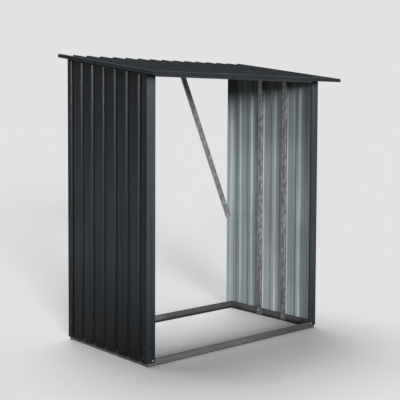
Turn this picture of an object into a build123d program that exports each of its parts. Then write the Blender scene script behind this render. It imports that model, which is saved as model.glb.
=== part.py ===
from build123d import *
from math import atan2, cos, radians, sin, tan
import os

# An open metal log store under a mono-pitch roof, in millimetres.
# X runs across the open front, Y from the low front to the high rear, Z up from the ground.
# The origin is at ground level in the middle of the roof's footprint.

# Overall sizes
wall_width = 1480.0
wall_depth = 840.0
overall_height = 1860.0
roof_pitch = 8.1
side_overhang = 67.0
front_overhang = 141.0
rear_overhang = 5.0

# Metal
sheet_thickness = 1.0
frame_thickness = 1.5
trim_thickness = 1.0
sheet_bend = 2.5
frame_bend = 2.0
trim_bend = 1.0
ground_gap = 18.0
butt_gap = 0.3
lap_gap = 0.2

# Wall sheets: flat pans with narrow ribs pressed inwards
wall_rib_count = 7
wall_narrow_margin = 51.0
wall_wide_margin = 69.0
wall_rib_base = 42.0
wall_rib_crest = 24.0
wall_rib_depth = 10.0

# Roof sheets: flat pans with narrow ribs pressed upwards
roof_sheet_count = 3
pitches_per_roof_sheet = 5
roof_rib_base = 42.0
roof_rib_crest = 24.0
roof_rib_height = 14.0

# Roof edge trims
trim_height = 22.0
trim_cover = 30.0
trim_return = 8.0

# Corner posts
post_front_leg = 65.0
post_side_leg = 36.0
post_return = 9.0
post_bend = 3.0

# Base frame and top frame
base_rail_height = 45.0
base_rail_flange = 30.0
top_rail_height = 28.0
top_rail_flange = 26.0
anchor_hole_radius = 4.5
anchor_hole_inset = 127.5

# Struts inside the side walls, each behind a rib, counted from the front
strut_width = 40.0
strut_depth = 15.0
strut_ribs = (3, 5)

# Braces in the rear opening: where the axis meets the roof, and how the foot laps on the post
brace_width = 40.0
brace_depth = 12.0
brace_top_reach = 183.0
brace_foot_lap = 7.0
brace_foot_height = 694.0
brace_seat_radius = 8.0
brace_seat_from_end = 13.0
brace_seat_from_axis = 9.0

# Planes of the walls, the frame and the roof
roof_width = wall_width + 2 * side_overhang
roof_run = front_overhang + wall_depth + rear_overhang
roof_side = roof_width / 2
roof_front = -roof_run / 2
wall_front = roof_front + front_overhang
wall_rear = wall_front + wall_depth
wall_side = wall_width / 2
frame_front = wall_front + frame_thickness
frame_rear = wall_rear - frame_thickness
pan_inside = wall_side - frame_thickness - sheet_thickness
frame_side = pan_inside - wall_rib_depth
anchor_hole_x = frame_side - anchor_hole_inset

# The underside of the roof is a sloping plane
rise = tan(radians(roof_pitch))
up_slope = (0, cos(radians(roof_pitch)), sin(radians(roof_pitch)))
roof_top = sheet_thickness + roof_rib_height + lap_gap + trim_thickness
eave_height = overall_height - roof_top - roof_run * rise

sides = (("left", -1), ("right", 1))
ends = (("front", wall_front, 1), ("rear", wall_rear, -1))


def underside(y):
    return eave_height + (y - roof_front) * rise


def underside_plane(drop):
    origin = (0, 0, underside(0) - drop)
    return Plane(origin=origin, x_dir=(1, 0, 0), z_dir=(0, -up_slope[2], up_slope[1]))


def section_plane(origin, x_dir, y_dir):
    return Plane(origin=origin, x_dir=x_dir, z_dir=Vector(*x_dir).cross(Vector(*y_dir)))


def mitre_plane(corner_x, corner_y):
    # Upright plane across a corner, at 45 degrees, facing the pieces that run along Y
    way_x = 1 if corner_x > 0 else -1
    way_y = 1 if corner_y > 0 else -1
    return Plane(origin=(corner_x, corner_y, 0), x_dir=(0, 0, 1), z_dir=(way_x, -way_y, 0))


def folded_section(points, thickness, bend):
    # Section of a strip folded along the points, with its thickness to the right of the line
    with BuildSketch() as section:
        with BuildLine():
            FilletPolyline(*points, radius=bend)
            offset(amount=thickness, side=Side.RIGHT)
        make_face()
    return section.sketch


class Rib:
    # A trapezoid rib, and how the edges of two sheets lap on it

    def __init__(self, base, crest, height):
        self.foot = base / 2
        self.crown = crest / 2
        self.height = height
        self.angle = atan2(height, self.foot - self.crown)

    def whole(self, centre):
        return [
            (centre - self.foot, 0),
            (centre - self.crown, self.height),
            (centre + self.crown, self.height),
            (centre + self.foot, 0),
        ]

    def over_lap(self, centre, way):
        # The rib ends on the way's side, just above the pan of the next sheet
        lift = sheet_bend * tan(self.angle / 2) * sin(self.angle)
        lift += sheet_thickness * cos(self.angle) + lap_gap
        end = (centre + way * (self.foot - lift / tan(self.angle)), lift)
        return self.whole(centre)[::way][:3] + [end]

    def under_lap(self, centre, way):
        # The next sheet rises inside the rib from the way's side and ends under its crown
        inset = sheet_thickness + lap_gap
        foot = self.foot - inset / sin(self.angle)
        crown = self.crown - inset * tan(self.angle / 2)
        level = self.height - inset
        return [(centre - way * crown, level), (centre + way * crown, level), (centre + way * foot, 0)]


def save(piece, name):
    piece.label = name
    export_step(piece, "parts/" + name + ".step")


os.makedirs("parts", exist_ok=True)


# Base frame: four angles that meet in mitred corners
base_points = [(base_rail_flange, 0), (0, 0), (0, base_rail_height)]
base_section = folded_section(base_points, frame_thickness, frame_bend)

for end, face, inwards in ends:
    web = face + inwards * frame_thickness
    flange_middle = web + inwards * base_rail_flange / 2
    with BuildPart() as base_end_rail:
        with BuildSketch(section_plane((-frame_side, web, 0), (0, inwards, 0), (0, 0, 1))):
            add(base_section)
        extrude(amount=2 * frame_side, dir=(1, 0, 0))
        for side, way in sides:
            split(bisect_by=mitre_plane(way * (frame_side - butt_gap), web), keep=Keep.BOTTOM)
        with Locations((-anchor_hole_x, flange_middle, 0), (anchor_hole_x, flange_middle, 0)):
            Hole(anchor_hole_radius, depth=2 * frame_thickness)
    save(base_end_rail.part, "base_" + end + "_rail")

for side, way in sides:
    with BuildPart() as base_side_rail:
        with BuildSketch(section_plane((way * frame_side, frame_front, 0), (-way, 0, 0), (0, 0, 1))):
            add(base_section)
        extrude(amount=frame_rear - frame_front, dir=(0, 1, 0))
        split(bisect_by=mitre_plane(way * frame_side, frame_front), keep=Keep.TOP)
        split(bisect_by=mitre_plane(way * frame_side, frame_rear), keep=Keep.TOP)
    save(base_side_rail.part, "base_" + side + "_rail")


# Top frame: four angles under the roof, their top flanges on its slope
for end, face, inwards in ends:
    web = face + inwards * frame_thickness
    tip = web + inwards * top_rail_flange
    points = [(0, underside(web) - top_rail_height), (0, underside(web)), (top_rail_flange, underside(tip))]
    with BuildPart() as top_end_rail:
        with BuildSketch(section_plane((-frame_side, web, 0), (0, inwards, 0), (0, 0, 1))):
            add(folded_section(points, frame_thickness, frame_bend))
        extrude(amount=2 * frame_side, dir=(1, 0, 0))
        for side, way in sides:
            split(bisect_by=mitre_plane(way * (frame_side - butt_gap), web), keep=Keep.BOTTOM)
    save(top_end_rail.part, "top_" + end + "_rail")

for side, way in sides:
    points = [(0, -top_rail_height), (0, 0), (top_rail_flange, 0)]
    origin = (way * frame_side, frame_front, underside(frame_front))
    with BuildPart() as top_side_rail:
        with BuildSketch(section_plane(origin, (-way, 0, 0), (0, 0, 1))):
            add(folded_section(points, frame_thickness, frame_bend))
        extrude(amount=(frame_rear - frame_front) / up_slope[1], dir=up_slope)
        split(bisect_by=mitre_plane(way * frame_side, frame_front), keep=Keep.TOP)
        split(bisect_by=mitre_plane(way * frame_side, frame_rear), keep=Keep.TOP)
    save(top_side_rail.part, "top_" + side + "_rail")


# Corner posts: angles that stand over the base frame and the edges of the wall sheets
plain_points = [(post_front_leg, 0), (0, 0), (0, post_side_leg)]
short_points = [(post_front_leg - post_bend, 0), (0, 0), (0, post_side_leg)]
return_points = [(post_front_leg, post_return), (post_front_leg, 0), (post_front_leg - 2 * post_bend, 0)]
return_foot = base_rail_height + butt_gap
return_head = underside(frame_front) - top_rail_height - butt_gap

for end, face, inwards in ends:
    points = short_points if end == "front" else plain_points
    for side, way in sides:
        origin = (way * wall_side, face, ground_gap)
        with BuildPart() as post:
            with BuildSketch(section_plane(origin, (-way, 0, 0), (0, inwards, 0))):
                add(folded_section(points, frame_thickness, post_bend))
            extrude(amount=overall_height, dir=(0, 0, 1))
            split(bisect_by=underside_plane(butt_gap), keep=Keep.BOTTOM)
            # The front posts fold back beside the opening, between the base rail and the top rail
            if end == "front":
                origin = (way * wall_side, face, return_foot)
                with BuildSketch(section_plane(origin, (-way, 0, 0), (0, inwards, 0))):
                    add(folded_section(return_points, frame_thickness, post_bend))
                extrude(amount=return_head - return_foot, dir=(0, 0, 1))
        save(post.part, end + "_" + side + "_post")


# Side walls: two ribbed sheets each, lapped on the middle rib
wall_rib = Rib(wall_rib_base, wall_rib_crest, wall_rib_depth)
wall_rib_pitch = (wall_depth - wall_narrow_margin - wall_wide_margin) / (wall_rib_count - 1)
lap_rib = wall_rib_count // 2
sheet_edge = post_bend + butt_gap


def rib_places(side):
    # Both walls are folded alike, so the wide margin is in front on the left and behind on the right
    first = wall_wide_margin if side == "left" else wall_narrow_margin
    return [first + wall_rib_pitch * i for i in range(wall_rib_count)]


def front_sheet_line(places):
    line = [(sheet_edge, 0)]
    for centre in places[:lap_rib]:
        line += wall_rib.whole(centre)
    return line + wall_rib.over_lap(places[lap_rib], 1)


def rear_sheet_line(places):
    line = wall_rib.under_lap(places[lap_rib], 1)
    for centre in places[lap_rib + 1:]:
        line += wall_rib.whole(centre)
    return line + [(wall_depth - sheet_edge, 0)]


for side, way in sides:
    places = rib_places(side)
    for end, line in (("front", front_sheet_line(places)), ("rear", rear_sheet_line(places))):
        origin = (way * pan_inside, wall_front, ground_gap)
        with BuildPart() as wall_sheet:
            with BuildSketch(section_plane(origin, (0, 1, 0), (-way, 0, 0))):
                add(folded_section(line, sheet_thickness, sheet_bend))
            extrude(amount=overall_height, dir=(0, 0, 1))
            split(bisect_by=underside_plane(butt_gap), keep=Keep.BOTTOM)
        save(wall_sheet.part, side + "_wall_" + end + "_sheet")


# Struts: upright channels between the base frame and the top frame
for side, way in sides:
    for number, rib in enumerate(strut_ribs, 1):
        place = rib_places(side)[rib - 1]
        near = place - strut_width / 2
        far = place + strut_width / 2
        points = [(near, 0), (near, strut_depth), (far, strut_depth), (far, 0)]
        origin = (way * (frame_side - frame_bend), wall_front, frame_thickness)
        with BuildPart() as strut:
            with BuildSketch(section_plane(origin, (0, 1, 0), (-way, 0, 0))):
                add(folded_section(points, frame_thickness, frame_bend))
            extrude(amount=overall_height, dir=(0, 0, 1))
            split(bisect_by=underside_plane(frame_thickness + butt_gap), keep=Keep.BOTTOM)
        save(strut.part, side + "_wall_strut_" + str(number))


# Rear braces: channels from the rear top rail down to the rear posts
brace_back = frame_rear - frame_thickness
brace_points = [
    (brace_width / 2, brace_depth),
    (brace_width / 2, 0),
    (-brace_width / 2, 0),
    (-brace_width / 2, brace_depth),
]
foot = Vector(-(wall_side - post_front_leg + brace_foot_lap), brace_back, brace_foot_height)
head = Vector(-brace_top_reach, brace_back, underside(brace_back))
axis = (head - foot).normalized()
across = Vector(0, -1, 0).cross(axis)
seat = foot + axis * brace_seat_from_end + across * brace_seat_from_axis

with BuildPart() as left_brace:
    with BuildSketch(Plane(origin=foot, x_dir=across, z_dir=axis)):
        add(folded_section(brace_points, frame_thickness, frame_bend))
    extrude(amount=(head - foot).length + brace_width, dir=axis)
    split(bisect_by=underside_plane(frame_thickness + frame_bend), keep=Keep.BOTTOM)
    # A round seat on the back takes up the thickness of the rail, so the foot meets the post
    with BuildSketch(Plane(origin=seat, x_dir=(1, 0, 0), z_dir=(0, 1, 0))):
        Circle(brace_seat_radius)
    extrude(amount=frame_thickness)
save(left_brace.part, "left_rear_brace")

with BuildPart() as right_brace:
    mirror(left_brace.part, about=Plane.YZ)
save(right_brace.part, "right_rear_brace")


# Roof: ribbed sheets from front to rear, the middle one lapped over its neighbours
roof_rib = Rib(roof_rib_base, roof_rib_crest, roof_rib_height)
roof_pitch_count = roof_sheet_count * pitches_per_roof_sheet
edge_rib = roof_side - trim_thickness - butt_gap - roof_rib.foot
roof_rib_pitch = 2 * edge_rib / roof_pitch_count


def roof_line(index):
    first = index * pitches_per_roof_sheet
    last = first + pitches_per_roof_sheet
    centres = [-edge_rib + roof_rib_pitch * i for i in range(first, last + 1)]
    line = []
    if index == 0:
        line += roof_rib.whole(centres[0])
    elif index % 2 == 1:
        line += roof_rib.over_lap(centres[0], -1)[::-1]
    else:
        line += roof_rib.under_lap(centres[0], 1)
    for centre in centres[1:-1]:
        line += roof_rib.whole(centre)
    if index == roof_sheet_count - 1:
        line += roof_rib.whole(centres[-1])
    elif index % 2 == 1:
        line += roof_rib.over_lap(centres[-1], 1)
    else:
        line += roof_rib.under_lap(centres[-1], -1)[::-1]
    return line


sheet_front = roof_front + trim_thickness + butt_gap
for index in range(roof_sheet_count):
    origin = (0, sheet_front, underside(sheet_front) + sheet_thickness)
    with BuildPart() as roof_sheet:
        with BuildSketch(section_plane(origin, (1, 0, 0), (0, 0, 1))):
            add(folded_section(roof_line(index), sheet_thickness, sheet_bend))
        extrude(amount=(-roof_front - sheet_front) / up_slope[1], dir=up_slope)
    save(roof_sheet.part, "roof_sheet_" + str(index + 1))


# Roof trims: folded edges along both sides and the low front, mitred at the corners
def trim_points(slope):
    low = roof_top - trim_height
    return [
        (trim_return, low + trim_return * slope),
        (0, low),
        (0, roof_top),
        (trim_cover, roof_top + trim_cover * slope),
    ]


for side, way in sides:
    origin = (way * roof_side, roof_front, eave_height)
    with BuildPart() as side_trim:
        with BuildSketch(section_plane(origin, (-way, 0, 0), (0, 0, 1))):
            add(folded_section(trim_points(0), trim_thickness, trim_bend))
        extrude(amount=roof_run / up_slope[1], dir=up_slope)
        split(bisect_by=mitre_plane(way * roof_side, roof_front), keep=Keep.TOP)
    save(side_trim.part, "roof_" + side + "_trim")

with BuildPart() as front_trim:
    with BuildSketch(section_plane((-roof_side, roof_front, eave_height), (0, 1, 0), (0, 0, 1))):
        add(folded_section(trim_points(rise), trim_thickness, trim_bend))
    extrude(amount=roof_width, dir=(1, 0, 0))
    for side, way in sides:
        split(bisect_by=mitre_plane(way * (roof_side - butt_gap), roof_front), keep=Keep.BOTTOM)
save(front_trim.part, "roof_front_trim")
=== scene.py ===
from math import cos, pi, radians, sin, tan

import bmesh
import bpy
from mathutils import Matrix, Vector


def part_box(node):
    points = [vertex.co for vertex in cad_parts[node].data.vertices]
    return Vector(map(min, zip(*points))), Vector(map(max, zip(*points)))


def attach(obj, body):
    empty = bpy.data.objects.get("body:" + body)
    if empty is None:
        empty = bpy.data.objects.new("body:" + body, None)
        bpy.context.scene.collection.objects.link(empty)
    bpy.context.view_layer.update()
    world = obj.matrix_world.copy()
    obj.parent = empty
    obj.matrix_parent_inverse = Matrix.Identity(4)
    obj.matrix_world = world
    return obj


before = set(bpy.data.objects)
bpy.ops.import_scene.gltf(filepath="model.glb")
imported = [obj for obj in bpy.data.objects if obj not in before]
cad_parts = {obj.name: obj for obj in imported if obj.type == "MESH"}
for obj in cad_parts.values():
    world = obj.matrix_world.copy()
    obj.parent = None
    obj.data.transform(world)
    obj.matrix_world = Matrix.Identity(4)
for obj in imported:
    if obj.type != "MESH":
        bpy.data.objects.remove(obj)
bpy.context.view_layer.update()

# Lengths are in metres unless a comment says otherwise, and colours are linear
SIDES = {"left": -1, "right": 1}
ENDS = ("front", "rear")
BLACK = (0, 0, 0)
WHITE = (1, 1, 1)

# Camera of the photograph, fitted to the corners of the walls, the roof and the base frame;
# the sensor's width is in millimetres
CAMERA_PLACE = Vector((-3.7522, -4.2689, 1.4947))
CAMERA_YAW = radians(-41.117)
CAMERA_PITCH = radians(-3.173)
CAMERA_ROLL = radians(0.247)
SENSOR_WIDTH = 36
IMAGE_PIXELS = 400
FOCAL_PIXELS = 858.1
AXIS_ROW = 159.2


def make_camera():
    ahead = Vector((
        -sin(CAMERA_YAW) * cos(CAMERA_PITCH),
        cos(CAMERA_YAW) * cos(CAMERA_PITCH),
        sin(CAMERA_PITCH),
    ))
    level = Vector((cos(CAMERA_YAW), sin(CAMERA_YAW), 0))
    up = level.cross(ahead)
    right = cos(CAMERA_ROLL) * level + sin(CAMERA_ROLL) * up
    top = cos(CAMERA_ROLL) * up - sin(CAMERA_ROLL) * level
    data = bpy.data.cameras.new("camera")
    data.sensor_width = SENSOR_WIDTH
    data.lens = FOCAL_PIXELS / IMAGE_PIXELS * SENSOR_WIDTH
    data.shift_y = AXIS_ROW / IMAGE_PIXELS - 0.5
    camera = bpy.data.objects.new("camera", data)
    turn = Matrix((right, top, -ahead)).transposed().to_4x4()
    camera.matrix_world = Matrix.Translation(CAMERA_PLACE) @ turn
    bpy.context.scene.collection.objects.link(camera)
    bpy.context.scene.camera = camera


# Materials

# Colour sockets of the Mix node, which has a set for each type of data
MIX_FIRST = 6
MIX_SECOND = 7
MIX_RESULT = 2

# Wear on the edges: how far the rounded normal turns from the face's own, as a cosine
EDGE_START = 0.99
EDGE_FULL = 0.93
BEVEL_SAMPLES = 6


def scaled(colour, factor):
    return [channel * factor for channel in colour]


class Nodes:
    """A material's node tree, with short calls to make and wire its nodes."""

    def __init__(self, name, specular):
        self.material = bpy.data.materials.new(name)
        self.material.use_nodes = True
        self.tree = self.material.node_tree
        self.shader = self.tree.nodes["Principled BSDF"]
        self.shader.inputs["Specular IOR Level"].default_value = specular
        self.place = self.add("ShaderNodeTexCoord").outputs["Object"]
        split = self.add("ShaderNodeSeparateXYZ")
        self.wire(self.place, split.inputs[0])
        self.x, self.y, self.z = split.outputs
        split = self.add("ShaderNodeSeparateXYZ")
        self.wire(self.add("ShaderNodeNewGeometry").outputs["True Normal"], split.inputs[0])
        self.facing_x, self.facing_y, self.facing_z = split.outputs

    def add(self, kind, **settings):
        node = self.tree.nodes.new(kind)
        for key, value in settings.items():
            setattr(node, key, value)
        return node

    def wire(self, value, socket):
        """Link an output to a socket, or set a plain value on it."""
        if hasattr(value, "links"):
            self.tree.links.new(value, socket)
        else:
            socket.default_value = value

    def math(self, operation, first, second=0.0):
        node = self.add("ShaderNodeMath", operation=operation)
        self.wire(first, node.inputs[0])
        self.wire(second, node.inputs[1])
        return node.outputs[0]

    def stretch(self, scale):
        node = self.add("ShaderNodeMapping")
        self.wire(self.place, node.inputs["Vector"])
        node.inputs["Scale"].default_value = scale
        return node.outputs[0]

    def noise(self, scale, detail, vector=None):
        node = self.add("ShaderNodeTexNoise")
        self.wire(vector or self.place, node.inputs["Vector"])
        node.inputs["Scale"].default_value = scale
        node.inputs["Detail"].default_value = detail
        return node.outputs["Fac"]

    def cells(self, scale):
        node = self.add("ShaderNodeTexVoronoi")
        self.wire(self.place, node.inputs["Vector"])
        node.inputs["Scale"].default_value = scale
        split = self.add("ShaderNodeSeparateColor")
        self.wire(node.outputs["Color"], split.inputs[0])
        return split.outputs

    def spread(self, value, low, high, to_low=0.0, to_high=1.0):
        """Map low to to_low and high to to_high, and hold the ends beyond them."""
        node = self.add("ShaderNodeMapRange")
        self.wire(value, node.inputs["Value"])
        limits = {"From Min": low, "From Max": high, "To Min": to_low, "To Max": to_high}
        for name, number in limits.items():
            node.inputs[name].default_value = number
        return node.outputs["Result"]

    def mix(self, factor, first, second):
        node = self.add("ShaderNodeMix", data_type="RGBA")
        self.wire(factor, node.inputs[0])
        for colour, socket in ((first, MIX_FIRST), (second, MIX_SECOND)):
            value = colour if hasattr(colour, "links") else (*colour, 1)
            self.wire(value, node.inputs[socket])
        return node.outputs[MIX_RESULT]

    def dim(self, colour, share):
        """Keep a share of a colour."""
        return self.mix(share, BLACK, colour)

    def bump(self, height, distance, strength, below=None):
        node = self.add("ShaderNodeBump")
        self.wire(height, node.inputs["Height"])
        node.inputs["Distance"].default_value = distance
        node.inputs["Strength"].default_value = strength
        if below is not None:
            self.wire(below, node.inputs["Normal"])
        return node.outputs[0]

    def worn_edges(self, radius, amount):
        """Chips along the sharp edges, where a rounded normal leaves the face's own."""
        rounded = self.add("ShaderNodeBevel", samples=BEVEL_SAMPLES)
        rounded.inputs["Radius"].default_value = radius
        across = self.add("ShaderNodeVectorMath", operation="DOT_PRODUCT")
        self.wire(rounded.outputs[0], across.inputs[0])
        self.wire(self.add("ShaderNodeNewGeometry").outputs["True Normal"], across.inputs[1])
        edge = self.spread(across.outputs["Value"], EDGE_START, EDGE_FULL)
        chips = self.spread(self.noise(scale=75, detail=8.0), 0.53, 0.60, to_high=amount)
        return self.math("MULTIPLY", edge, chips)

    def finish(self, colour, roughness, normal, metallic=0.0):
        self.wire(colour, self.shader.inputs["Base Color"])
        self.wire(roughness, self.shader.inputs["Roughness"])
        self.wire(normal, self.shader.inputs["Normal"])
        self.shader.inputs["Metallic"].default_value = metallic
        return self.material


# Shape of the part, for the masks: the middle of the walls, and the roof's underside at y = 0
MIDDLE_Y = 0.068
ROOF_SLOPE = radians(8.1)
RISE = tan(ROOF_SLOPE)
ROOF_LEVEL = 1.7736

# From outside the ribs of the walls are grooves: x of their floor, and of the wall's face, across
# which the painted shade in the grooves fades
GROOVE_FLOOR = 0.7285
WALL_FACE = 0.7383

# A post's return lies inside this x, and its broad leg beyond this reach from the middle
RETURN_SIDE = 0.684
BROAD_LEG = 0.40

# Below these a face looks inwards (its place times its normal) or down (its normal alone)
INWARDS = -0.1
DOWNWARDS = -0.2

# Depths below the roof of its painted shade and of the darker painted band just below it,
# and heights of the painted shade near the ground and of the dust
SHADE_DEPTH = 0.8
EAVE_SHADE_DEPTH = 0.05
GROUND_SHADE_HEIGHT = 0.6
DUST_HEIGHT = 0.25

# Base rails: heights between which the painted shade lines at foot and head fade, and x where the
# painted shade towards the front rail's right end starts and is full; of the four rails only the
# front one lies before FRONT_RAIL_Y
FOOT_SHADOW_LINE = (0.004, 0.009)
HEAD_SHADE_LINE = (0.0375, 0.0415)
RAIL_SHADE_START = -0.1
RAIL_SHADE_FULL = 0.5
FRONT_RAIL_Y = -0.3

# Stretch of the noise along X, Y and Z
STREAKS = (55, 55, 0.8)
WAVES = (9, 9, 1.6)
ROLL_MARKS = (60, 60, 0.4)
RUST_BLOTCHES = (1, 1, 0.6)
RAIL_LINES = (3, 3, 330)

PAINT = ((0.0205, 0.0243, 0.0282), (0.0310, 0.0364, 0.0422))
LINING = ((0.193, 0.218, 0.224), (0.309, 0.345, 0.355))
DUST = (0.115, 0.115, 0.112)
WORN_PAINT = (0.17, 0.175, 0.18)


def faces_in_x(nodes):
    return nodes.math("LESS_THAN", nodes.math("MULTIPLY", nodes.x, nodes.facing_x), INWARDS)


def faces_in(nodes):
    """Back of a folded post: its legs turn inwards, and the return at the opening turns outwards.

    The cut edge of the side leg also turns inwards, but it lies short of the broad leg.
    """
    fold = nodes.math("SIGN", nodes.math("SUBTRACT", nodes.math("ABSOLUTE", nodes.x), RETURN_SIDE))
    across = nodes.math("MULTIPLY", nodes.math("MULTIPLY", nodes.x, nodes.facing_x), fold)
    reach = nodes.math("SUBTRACT", nodes.y, MIDDLE_Y)
    broad = nodes.math("GREATER_THAN", nodes.math("ABSOLUTE", reach), BROAD_LEG)
    along = nodes.math("MULTIPLY", nodes.math("MULTIPLY", reach, nodes.facing_y), broad)
    return nodes.math("LESS_THAN", nodes.math("MINIMUM", across, along), INWARDS)


def faces_down(nodes):
    return nodes.math("LESS_THAN", nodes.facing_z, DOWNWARDS)


def under_roof(nodes, depth):
    """One at the roof, falling to nothing at a depth below it."""
    roof = nodes.math("ADD", nodes.math("MULTIPLY", nodes.y, RISE), ROOF_LEVEL)
    return nodes.spread(nodes.math("SUBTRACT", roof, nodes.z), 0.0, depth, 1.0, 0.0)


def shade(nodes, colour, top, foot, eave_shade):
    """Painted shade: darker under the roof, darker still in a band just below it, and darker near
    the ground.
    """
    wide = nodes.math("MULTIPLY", under_roof(nodes, SHADE_DEPTH), top)
    narrow = nodes.math("MULTIPLY", under_roof(nodes, EAVE_SHADE_DEPTH), eave_shade)
    high = nodes.math("MAXIMUM", wide, narrow)
    low = nodes.spread(nodes.z, 0.0, GROUND_SHADE_HEIGHT, foot, 0.0)
    lit = nodes.math("SUBTRACT", 1.0, high)
    return nodes.dim(colour, nodes.math("MULTIPLY", lit, nodes.math("SUBTRACT", 1.0, low)))


def painted_steel(
    name, lined, specular, roughness,
    depth=1.0, top=0.0, foot=0.0, legs=1.0, grooves=False, wear=0.55,
):
    """Anthracite paint outside, with the pale backing coat where lined says so.

    depth scales the paint, which gives lit and shaded copies of one paint; top and foot paint
    shade under the roof and near the ground; legs is the share kept on faces that look along X,
    a painted shade; grooves paints shade in the ribs; and wear chips edges.
    """
    nodes = Nodes(name, specular)
    cloud = nodes.noise(scale=2.2, detail=4.0)
    streak = nodes.noise(scale=1.0, detail=5.0, vector=nodes.stretch(STREAKS))
    mottle = nodes.math("ADD", cloud, nodes.math("MULTIPLY", streak, 2.0))
    tone = nodes.spread(mottle, 1.27, 1.73)
    # depth lightens or darkens the one paint, as painted light and painted shade
    colour = nodes.mix(tone, *(scaled(paint, depth) for paint in PAINT))
    # Painted shade in the grooves of the ribs, darkest on their floor
    if grooves:
        side = nodes.math("ABSOLUTE", nodes.x)
        colour = nodes.dim(colour, nodes.spread(side, GROOVE_FLOOR, WALL_FACE, to_low=0.42))
    # Painted shade on the faces that look along X, the posts' side legs
    if legs < 1.0:
        turned = nodes.math("ABSOLUTE", nodes.facing_x)
        colour = nodes.dim(colour, nodes.spread(turned, 0.3, 0.7, 1.0, legs))
    # Painted shade under the roof, in a band just below it and near the ground
    if top or foot:
        colour = shade(nodes, colour, top, foot, eave_shade=0.8)
    # The backing coat gets painted shade under the roof, in the band below it and near the ground
    if lined:
        pale = shade(nodes, nodes.mix(tone, *LINING), top=0.55, foot=0.1, eave_shade=0.45)
        colour = nodes.mix(lined(nodes), colour, pale)
    low = nodes.math("POWER", nodes.spread(nodes.z, 0.0, DUST_HEIGHT, 1.0, 0.0), 2.0)
    specks = nodes.spread(nodes.noise(scale=160, detail=6.0), 0.48, 0.75, to_high=0.2)
    colour = nodes.mix(nodes.math("MULTIPLY", low, specks), colour, DUST)
    colour = nodes.mix(nodes.worn_edges(radius=0.003, amount=wear), colour, WORN_PAINT)
    smear = nodes.math("ADD", cloud, nodes.noise(scale=40, detail=4.0))
    gloss = nodes.spread(smear, 0.6, 1.4, *roughness)
    wave = nodes.noise(scale=1.0, detail=1.0, vector=nodes.stretch(WAVES))
    normal = nodes.bump(wave, distance=0.004, strength=0.4)
    rolled = nodes.noise(scale=1.0, detail=2.0, vector=nodes.stretch(ROLL_MARKS))
    normal = nodes.bump(rolled, distance=0.0012, strength=0.4, below=normal)
    peel = nodes.noise(scale=700, detail=2.0)
    normal = nodes.bump(peel, distance=0.0002, strength=0.3, below=normal)
    return nodes.finish(colour, gloss, normal)


def rail_lines_and_shade(nodes):
    """Rolled lines along a base rail, with painted shade in dark lines at its foot and head and
    towards its right end.
    """
    streaks = nodes.noise(scale=1.0, detail=4.0, vector=nodes.stretch(RAIL_LINES))
    line = nodes.spread(streaks, 0.40, 0.66, to_high=0.45)
    foot_shadow_line = nodes.spread(nodes.z, *FOOT_SHADOW_LINE, 0.85, 0.0)
    head_shade_line = nodes.spread(nodes.z, *HEAD_SHADE_LINE, 0.0, 0.75)
    edge = nodes.math("MAXIMUM", line, nodes.math("MAXIMUM", foot_shadow_line, head_shade_line))
    # Only the front rail gets the painted shade towards its right end
    along = nodes.spread(nodes.x, RAIL_SHADE_START, RAIL_SHADE_FULL, to_high=0.75)
    end_shade = nodes.math("MULTIPLY", along, nodes.math("LESS_THAN", nodes.y, FRONT_RAIL_Y))
    return nodes.math("MAXIMUM", edge, end_shade)


def galvanised_steel(name, dark, light, contrast, blotch=0.0, rolled=False, top=0.0, foot=0.0):
    """Zinc coat with spangles, which white rust darkens in blotches and rolling in lines.

    contrast sets off the spangles, blotch is how dark the rust is, rolled is for a base rail and
    adds its rolled lines and painted shade, and top and foot paint shade under the roof and near
    the ground.
    """
    nodes = Nodes(name, specular=0.5)
    red, green, _ = nodes.cells(scale=95)
    fern = nodes.noise(scale=320, detail=5.0)
    spangle = nodes.math("ADD", nodes.math("MULTIPLY", red, contrast), fern)
    cloud = nodes.noise(scale=5, detail=4.0)
    tone = nodes.spread(nodes.math("ADD", spangle, cloud), 0.75, 1.25 + contrast)
    colour = nodes.mix(tone, dark, light)
    if blotch:
        rust = nodes.noise(scale=42, detail=5.0, vector=nodes.stretch(RUST_BLOTCHES))
        patch = nodes.spread(rust, 0.44, 0.58, to_high=blotch)
        colour = nodes.mix(patch, colour, scaled(dark, 0.35))
    # Painted shade under the roof, in a band just below it and near the ground
    if top or foot:
        colour = shade(nodes, colour, top, foot, eave_shade=0.3)
    # Rolled lines, with painted shade lines at foot and head and towards the front rail's right end
    if rolled:
        colour = nodes.mix(rail_lines_and_shade(nodes), colour, scaled(dark, 0.3))
    edges = nodes.worn_edges(radius=0.002, amount=0.6)
    colour = nodes.mix(edges, colour, scaled(light, 1.4))
    roughness = nodes.spread(green, 0.0, 1.0, 0.42, 0.56)
    normal = nodes.bump(spangle, distance=0.0002, strength=0.3)
    return nodes.finish(colour, roughness, normal, metallic=0.7)


def assign(material, names):
    for name in names:
        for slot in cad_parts[name].material_slots:
            slot.link = "OBJECT"
            slot.material = material


make_camera()

# The depths give lit and shaded copies of one paint, as painted light and painted shade; top, foot,
# legs and grooves paint shade too
wall_paint = painted_steel(
    "wall_paint", faces_in_x, specular=0.06, roughness=(0.21, 0.29),
    depth=0.81, top=0.66, foot=0.9, grooves=True, wear=0.2,
)
post_paint = painted_steel(
    "post_paint", faces_in, specular=0.08, roughness=(0.26, 0.34),
    depth=1.05, foot=0.68, legs=0.4,
)
roof_paint = painted_steel(
    "roof_paint", faces_down, specular=0.05, roughness=(0.68, 0.82),
    depth=0.56, wear=0.35,
)
trim_paint = painted_steel(
    "trim_paint", None, specular=0.05, roughness=(0.55, 0.65), depth=0.66,
)
# rolled adds painted shade lines at the base rails' foot and head, and towards the front rail's
# right end
base_zinc = galvanised_steel(
    "base_zinc", (0.092, 0.092, 0.09), (0.148, 0.148, 0.148), contrast=0.3, rolled=True,
)
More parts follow.
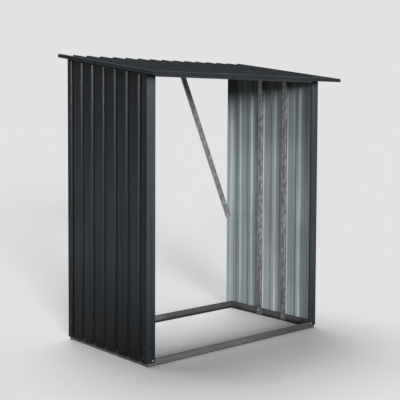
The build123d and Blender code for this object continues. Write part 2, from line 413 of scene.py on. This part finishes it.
# Darker zinc on the top rails, a painted shade under the roof
rail_zinc = galvanised_steel(
    "rail_zinc", (0.15, 0.15, 0.15), (0.22, 0.22, 0.225), contrast=0.35,
)
# The struts get painted shade under the roof and near the ground
strut_zinc = galvanised_steel(
    "strut_zinc", (0.19, 0.188, 0.187), (0.34, 0.337, 0.335), contrast=0.5,
    blotch=0.55, top=0.28, foot=0.4,
)
brace_zinc = galvanised_steel(
    "brace_zinc", (0.27, 0.27, 0.27), (0.44, 0.445, 0.45), contrast=0.5, blotch=0.45,
)
assign(wall_paint, [s + "_wall_" + e + "_sheet" for s in SIDES for e in ENDS])
assign(post_paint, [e + "_" + s + "_post" for s in SIDES for e in ENDS])
assign(roof_paint, ["roof_sheet_" + n for n in "123"])
assign(trim_paint, ["roof_" + place + "_trim" for place in (*SIDES, "front")])
assign(base_zinc, ["base_" + place + "_rail" for place in (*SIDES, *ENDS)])
assign(rail_zinc, ["top_" + place + "_rail" for place in (*SIDES, *ENDS)])
assign(strut_zinc, [s + "_wall_strut_" + n for s in SIDES for n in "12"])
assign(brace_zinc, [s + "_rear_brace" for s in SIDES])


# Screws, bolts and rivets

# Places that the CAD gives: faces of the frame and the sheets
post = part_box("front_right_post")
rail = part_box("base_right_rail")
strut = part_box("right_wall_strut_1")
roof_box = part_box("roof_right_trim")

WALL_SIDE = post[1][0]
WALL_FRONT = post[0][1]
WALL_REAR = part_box("rear_right_post")[1][1]
FRAME_SIDE = rail[1][0]
STRUT_FACE = strut[0][0]
EAVE_FRONT = roof_box[0][1]
SHEET = 0.001
FRAME_METAL = 0.0015

# Heights above the plane that the roof sheets lie on
TRIM_TOP = 0.0162
RIB_TOP = 0.015

# Ribs of the walls: margins before the first, and the two with a strut behind, from nought
WIDE_MARGIN = 0.069
NARROW_MARGIN = 0.051
WALL_RIB_PITCH = 0.12
WALL_RIB_COUNT = 7
STRUT_RIBS = (2, 4)

# Ribs of the roof, from the left
ROOF_NORMAL = (0, -sin(ROOF_SLOPE), cos(ROOF_SLOPE))
ROOF_RIB_PITCH = 0.10463
FIRST_ROOF_RIB = -0.7847

# Rows of screws in the base rails, and in the top rails below the roof
BASE_LEVEL = 0.032
TOP_DROP = 0.014
BOLT_DROP = 0.004

# Screws in the posts: up the side legs, and through the broad legs
LEG_INSET = 0.020
LEG_START = 0.11
LEG_DROP = 0.06
LEG_SCREWS = 5
BROAD_LEG_X = 0.694

# Screws through the pans of the roof into the end rails and the side rails
ROOF_SCREW_PANS = range(2, 13, 2)
ROOF_CORNER_X = 0.716
END_FLANGE_INSET = 0.0145
SIDE_FLANGE_X = 0.7145
SIDE_FLANGE_ROW = (-0.14, 0.068, 0.276)

# Rivets along the laps of the roof sheets, and through the trims
LAP_RIBS = (5, 10)
LAP_ROW = (-0.36, -0.16, 0.04, 0.24, 0.44)
SIDE_TRIM_X = 0.7865
SIDE_TRIM_ROW = (-0.40, -0.19, 0.02, 0.23, 0.44)
FRONT_TRIM_RIBS = (2, 5, 10, 13)
FRONT_TRIM_INSET = 0.016

# Ends of the rear braces, as x and z: the bolt through each seat, and the one through the rail
BRACE_FOOT = (0.6851, 0.7095)
BRACE_HEAD = (0.1894, 1.828)
BRACE_FACE = 0.4835

# Profiles of the heads, as radius and height, each with its number of sides
WASHER = ((0.0054, 0), (0.0056, 0.0004), (0.0053, 0.0009), (0.0042, 0.0012))
HEX_HEAD = ((0.0038, 0.0008), (0.0038, 0.0036), (0.0032, 0.0041))
NUT_WASHER = ((0.0070, 0), (0.0072, 0.0003), (0.0070, 0.0010))
NUT = ((0.0056, 0.0008), (0.0058, 0.0012), (0.0058, 0.0040), (0.0050, 0.0044))
DOME = (
    (0.0068, 0), (0.0068, 0.0006), (0.0062, 0.0020),
    (0.0048, 0.0031), (0.0026, 0.0038), (0.0008, 0.0040),
)
RIVET = ((0.0048, 0), (0.0048, 0.0004), (0.0042, 0.0013), (0.0028, 0.0020), (0.0010, 0.0023))
KINDS = {
    "screw": ((WASHER, 24), (HEX_HEAD, 6)),
    "nut": ((NUT_WASHER, 24), (NUT, 6)),
    "dome": ((DOME, 24),),
    "rivet": ((RIVET, 20),),
}
SHARP = radians(38)
TURN_STEP = 37


def underside(y):
    """Height of the plane that the roof sheets lie on."""
    return roof_box[1][2] - TRIM_TOP - (roof_box[1][1] - y) * RISE


def wall_ribs(side):
    first = WIDE_MARGIN if side == "left" else NARROW_MARGIN
    return [WALL_FRONT + first + WALL_RIB_PITCH * number for number in range(WALL_RIB_COUNT)]


def roof_rib(number):
    """X of a roof rib, or of the pan after it where the number ends in a half."""
    return FIRST_ROOF_RIB + ROOF_RIB_PITCH * number


def on_roof(x, y, height):
    """Place of a head at a height above the plane of the roof sheets, and the way it looks."""
    return (x, y, underside(y) + height), ROOF_NORMAL


def lathe(shape, profile, segments, frame_of_piece):
    rings = []
    for radius, height in profile:
        ring = []
        for step in range(segments):
            turn = 2 * pi * step / segments
            spot = Vector((radius * cos(turn), radius * sin(turn), height))
            ring.append(shape.verts.new(frame_of_piece @ spot))
        rings.append(ring)
    shape.faces.new(rings[0][::-1])
    shape.faces.new(rings[-1])
    for low, high in zip(rings, rings[1:]):
        for step in range(segments):
            after = (step + 1) % segments
            shape.faces.new((low[step], low[after], high[after], high[step]))


def add_fasteners(name, kind, places, material):
    """One mesh of many like fasteners; each place is a point and the way that the head looks."""
    shape = bmesh.new()
    for number, (point, way) in enumerate(places):
        turn = Matrix.Rotation(radians(TURN_STEP * number), 4, "Z")
        stand = Vector(way).to_track_quat("Z", "Y").to_matrix().to_4x4()
        for profile, segments in KINDS[kind]:
            lathe(shape, profile, segments, Matrix.Translation(point) @ stand @ turn)
    mesh = bpy.data.meshes.new(name)
    bmesh.ops.recalc_face_normals(shape, faces=shape.faces)
    shape.to_mesh(mesh)
    shape.free()
    mesh.shade_smooth()
    mesh.set_sharp_from_angle(angle=SHARP)
    mesh.materials.append(material)
    piece = bpy.data.objects.new(name, mesh)
    bpy.context.scene.collection.objects.link(piece)
    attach(piece, "root")


def wall_places():
    """Screws from outside: sheets to the side rails and the struts, and post legs to the sheets."""
    places = []
    for side, way in SIDES.items():
        out = (way, 0, 0)
        for y in wall_ribs(side):
            for z in (BASE_LEVEL, underside(y) - TOP_DROP):
                places.append(((way * (FRAME_SIDE + SHEET), y, z), out))
        for y in (WALL_FRONT + LEG_INSET, WALL_REAR - LEG_INSET):
            top = underside(y) - LEG_DROP
            for step in range(LEG_SCREWS):
                z = LEG_START + (top - LEG_START) * step / (LEG_SCREWS - 1)
                places.append(((way * WALL_SIDE, y, z), out))
    return places


def post_places(foot):
    """Screws through the broad legs of the posts into the front and rear rails."""
    places = []
    for way in SIDES.values():
        for y, out in ((WALL_FRONT, -1), (WALL_REAR, 1)):
            z = BASE_LEVEL if foot else underside(y) - TOP_DROP
            places.append(((way * BROAD_LEG_X, y, z), (0, out, 0)))
    return places


def roof_places():
    """Screws through the pans of the roof into the rails below."""
    places = []
    columns = [roof_rib(number + 0.5) for number in ROOF_SCREW_PANS]
    columns += [-ROOF_CORNER_X, ROOF_CORNER_X]
    for y in (WALL_FRONT + END_FLANGE_INSET, WALL_REAR - END_FLANGE_INSET):
        places += [on_roof(x, y, SHEET) for x in columns]
    for way in SIDES.values():
        places += [on_roof(way * SIDE_FLANGE_X, y, SHEET) for y in SIDE_FLANGE_ROW]
    return places


def rivet_places():
    """Rivets along the laps of the roof sheets and through the trims into the ribs."""
    places = [on_roof(roof_rib(number), y, RIB_TOP) for number in LAP_RIBS for y in LAP_ROW]
    for way in SIDES.values():
        places += [on_roof(way * SIDE_TRIM_X, y, TRIM_TOP) for y in SIDE_TRIM_ROW]
    y = EAVE_FRONT + FRONT_TRIM_INSET
    places += [on_roof(roof_rib(number), y, TRIM_TOP) for number in FRONT_TRIM_RIBS]
    return places


def bolt_places():
    """Domed heads that show inside, on the struts and the braces."""
    places = []
    for side, way in SIDES.items():
        ribs = wall_ribs(side)
        for y in (ribs[number] for number in STRUT_RIBS):
            for z in (BASE_LEVEL, underside(y) - TOP_DROP - BOLT_DROP):
                places.append(((way * STRUT_FACE, y, z), (-way, 0, 0)))
        for x, z in (BRACE_FOOT, BRACE_HEAD):
            places.append(((way * x, BRACE_FACE, z), (0, -1, 0)))
    return places


def nut_places():
    """Nuts of the braces, behind the posts and behind the rear top rail."""
    places = []
    for way in SIDES.values():
        for (x, z), y in ((BRACE_FOOT, WALL_REAR), (BRACE_HEAD, WALL_REAR - FRAME_METAL)):
            places.append(((way * x, y, z), (0, 1, 0)))
    return places


screw_paint = painted_steel("screw_paint", None, specular=0.1, roughness=(0.3, 0.4))
screw_zinc = galvanised_steel(
    "screw_zinc", (0.20, 0.205, 0.205), (0.33, 0.335, 0.335), contrast=0.3,
)
wall_and_post_places = wall_places() + post_places(foot=False)
add_fasteners("wall_screws", "screw", wall_and_post_places, screw_paint)
add_fasteners("post_screws", "screw", post_places(foot=True), screw_zinc)
add_fasteners("roof_screws", "screw", roof_places(), screw_paint)
add_fasteners("roof_rivets", "rivet", rivet_places(), screw_paint)
add_fasteners("frame_bolts", "dome", bolt_places(), screw_zinc)
add_fasteners("brace_nuts", "nut", nut_places(), screw_zinc)


# Floor, backdrop and lamps

FLOOR = (0.745, 0.745, 0.740)
FLOOR_BOUNCE = (0.20, 0.20, 0.20)
FLOOR_RADIUS = 60
FLOOR_SEGMENTS = 96
BACKDROP = (0.760, 0.761, 0.760)
SOFT_LIGHT = (0.94, 0.97, 1.0)
SOFT_STRENGTH = 0.12
SKY_TINT = (0.90, 0.96, 1.0)


def seen_rays(tree):
    """One for rays from the camera, mirrors and glass, which all see the pale stage."""
    path = tree.nodes.new("ShaderNodeLightPath")
    total = path.outputs["Is Camera Ray"]
    for name in ("Is Glossy Ray", "Is Transmission Ray"):
        larger = tree.nodes.new("ShaderNodeMath")
        larger.operation = "MAXIMUM"
        tree.links.new(total, larger.inputs[0])
        tree.links.new(path.outputs[name], larger.inputs[1])
        total = larger.outputs[0]
    return total


def make_floor():
    nodes = Nodes("floor", specular=0.0)
    grain = nodes.noise(scale=30, detail=6.0)
    pale = nodes.mix(nodes.spread(grain, 0.3, 0.7), scaled(FLOOR, 0.97), FLOOR)
    colour = nodes.mix(seen_rays(nodes.tree), FLOOR_BOUNCE, pale)
    normal = nodes.bump(grain, distance=0.0005, strength=0.3)
    mesh = bpy.data.meshes.new("floor")
    shape = bmesh.new()
    bmesh.ops.create_circle(shape, cap_ends=True, segments=FLOOR_SEGMENTS, radius=FLOOR_RADIUS)
    shape.to_mesh(mesh)
    shape.free()
    mesh.materials.append(nodes.finish(colour, 0.9, normal))
    floor = bpy.data.objects.new("floor", mesh)
    bpy.context.scene.collection.objects.link(floor)


def make_world():
    world = bpy.data.worlds.new("studio")
    bpy.context.scene.world = world
    world.use_nodes = True
    tree = world.node_tree
    soft = tree.nodes["Background"]
    soft.inputs["Color"].default_value = (*SOFT_LIGHT, 1)
    soft.inputs["Strength"].default_value = SOFT_STRENGTH
    seen = tree.nodes.new("ShaderNodeBackground")
    seen.inputs["Color"].default_value = (*BACKDROP, 1)
    mixer = tree.nodes.new("ShaderNodeMixShader")
    tree.links.new(seen_rays(tree), mixer.inputs[0])
    tree.links.new(soft.outputs[0], mixer.inputs[1])
    tree.links.new(seen.outputs[0], mixer.inputs[2])
    tree.links.new(mixer.outputs[0], tree.nodes["World Output"].inputs["Surface"])


def make_sun(name, place, energy, width, colour=WHITE):
    """A far lamp that shines from a place towards the origin, as wide as an angle in degrees."""
    data = bpy.data.lights.new(name, "SUN")
    data.energy = energy
    data.color = colour
    data.angle = radians(width)
    lamp = bpy.data.objects.new(name, data)
    lamp.location = place
    lamp.rotation_euler = (-Vector(place)).to_track_quat("-Z", "Y").to_euler()
    bpy.context.scene.collection.objects.link(lamp)


make_floor()
make_world()
make_sun("sky", (0.3, 1.6, 5), energy=2.15, width=35)
make_sun("key", (-2.4, -5.2, 1.0), energy=3.3, width=14)
make_sun("left", (-7.55, -6.5, 0.8), energy=1.5, width=6, colour=SKY_TINT)
make_sun("right", (5.9, -8.1, 0.8), energy=0.65, width=7)
make_sun("side", (7.5, 0.9, 1.2), energy=0.8, width=24, colour=SKY_TINT)
bpy.context.scene.view_settings.view_transform = "Standard"
